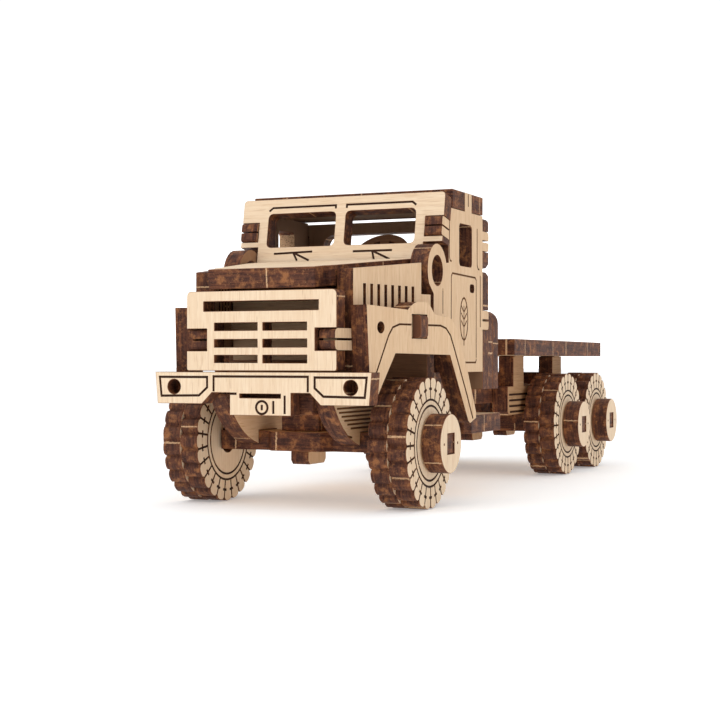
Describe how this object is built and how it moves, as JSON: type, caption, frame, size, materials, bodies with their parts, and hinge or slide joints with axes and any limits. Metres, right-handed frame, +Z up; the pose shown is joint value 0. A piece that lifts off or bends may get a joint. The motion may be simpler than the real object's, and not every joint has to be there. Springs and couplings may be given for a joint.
{
  "type": "plywood jigsaw truck model",
  "caption": "Slot-together plywood jigsaw model of a bonneted flatbed truck: raked cab, splayed mudguards, side steps, posts carrying the bed and wheels that turn on square axle ends.",
  "frame": {"origin": "on the ground, at the middle of the bounding box seen from above", "axes": "+X towards the truck's left side, +Y towards its rear (the bumper faces -Y), +Z up"},
  "size_m": [0.0476, 0.1266, 0.0504],
  "materials": {
    "birch_face": "bare sanded birch plywood",
    "shaded_birch": "bare birch plywood, tanned by the laser",
    "burnt_edge": "laser-burnt plywood edge"
  },
  "bodies": {
    "truck": {"hub_front_left": "birch_face", "hub_front_right": "birch_face", "axle_front": "burnt_edge", "axle_spacer_front": "burnt_edge", "differential_front": "burnt_edge", "hub_mid_left": "birch_face", "hub_mid_right": "birch_face", "axle_mid": "burnt_edge", "axle_spacer_mid": "burnt_edge", "differential_mid": "burnt_edge", "hub_rear_left": "birch_face", "hub_rear_right": "birch_face", "axle_rear": "burnt_edge", "axle_spacer_rear": "burnt_edge", "differential_rear": "burnt_edge", "chassis_plate": "burnt_edge", "front_spring_left": "shaded_birch", "front_spring_right": "shaded_birch", "bogie_side_left": "shaded_birch", "bogie_side_right": "shaded_birch", "bed_platform": "burnt_edge", "bed_cross_plate_front": "shaded_birch", "bed_cross_plate_rear": "shaded_birch", "step_plate": "burnt_edge", "step_key": "burnt_edge", "bumper": "birch_face", "grille": "birch_face", "bonnet_side_left": "birch_face", "bonnet_side_right": "birch_face", "wing_left": "birch_face", "wing_right": "birch_face", "wing_cross_plate": "shaded_birch", "bonnet_top": "birch_face", "windscreen": "birch_face", "cab_side_left": "birch_face", "cab_side_right": "birch_face", "roof": "birch_face", "cab_rear_wall": "shaded_birch", "back_plate_inner": "shaded_birch", "back_plate_outer": "shaded_birch", "cab_front_wall": "shaded_birch", "cab_floor": "shaded_birch", "steering_wheel": "shaded_birch", "steering_column": "shaded_birch"},
    "wheel_front_left": {"tyre_outer_front_left": "birch_face", "tyre_inner_front_left": "shaded_birch"},
    "wheel_front_right": {"tyre_outer_front_right": "birch_face", "tyre_inner_front_right": "shaded_birch"},
    "wheel_mid_left": {"tyre_outer_mid_left": "birch_face", "tyre_inner_mid_left": "shaded_birch"},
    "wheel_mid_right": {"tyre_outer_mid_right": "birch_face", "tyre_inner_mid_right": "shaded_birch"},
    "wheel_rear_left": {"tyre_outer_rear_left": "birch_face", "tyre_inner_rear_left": "shaded_birch"},
    "wheel_rear_right": {"tyre_outer_rear_right": "birch_face", "tyre_inner_rear_right": "shaded_birch"}
  },
  "joints": [
    {"name": "spin_front_left", "type": "hinge", "parent": "truck", "child": "wheel_front_left", "pos_m": [0.01745, -0.0469, 0.01], "axis": [1, 0, 0], "continuous": true},
    {"name": "spin_front_right", "type": "hinge", "parent": "truck", "child": "wheel_front_right", "pos_m": [-0.01745, -0.0469, 0.01], "axis": [1, 0, 0], "continuous": true},
    {"name": "spin_mid_left", "type": "hinge", "parent": "truck", "child": "wheel_mid_left", "pos_m": [0.01745, 0.0289, 0.01], "axis": [1, 0, 0], "continuous": true},
    {"name": "spin_mid_right", "type": "hinge", "parent": "truck", "child": "wheel_mid_right", "pos_m": [-0.01745, 0.0289, 0.01], "axis": [1, 0, 0], "continuous": true},
    {"name": "spin_rear_left", "type": "hinge", "parent": "truck", "child": "wheel_rear_left", "pos_m": [0.01745, 0.0508, 0.01], "axis": [1, 0, 0], "continuous": true},
    {"name": "spin_rear_right", "type": "hinge", "parent": "truck", "child": "wheel_rear_right", "pos_m": [-0.01745, 0.0508, 0.01], "axis": [1, 0, 0], "continuous": true}
  ]
}
